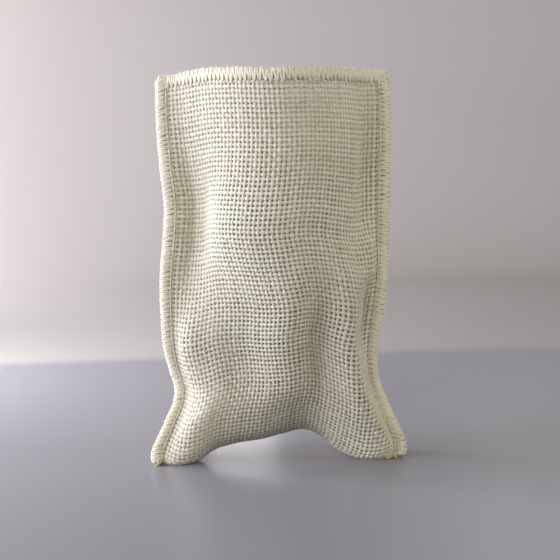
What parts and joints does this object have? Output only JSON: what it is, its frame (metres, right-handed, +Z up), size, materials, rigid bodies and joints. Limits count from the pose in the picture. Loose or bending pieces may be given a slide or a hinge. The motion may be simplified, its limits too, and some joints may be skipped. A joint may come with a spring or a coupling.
{
  "type": "burlap bag",
  "caption": "Small open-topped pouch of bleached plain-weave burlap, folded at the bottom, overlocked up both sides and round the mouth, standing on its two lower corners.",
  "frame": {"origin": "on the surface that the pouch stands on, under the middle of its outer box", "axes": "+X across the front towards the viewer's right, +Y away from the viewer, +Z up towards the mouth"},
  "size_m": [0.1173, 0.0656, 0.1801],
  "materials": {
    "bag_cloth": "bleached coarse plain-weave burlap, matt, with overlocked edges in cream thread"
  },
  "bodies": {
    "root": {"bag_cloth": "bag_cloth"}
  },
  "joints": []
}
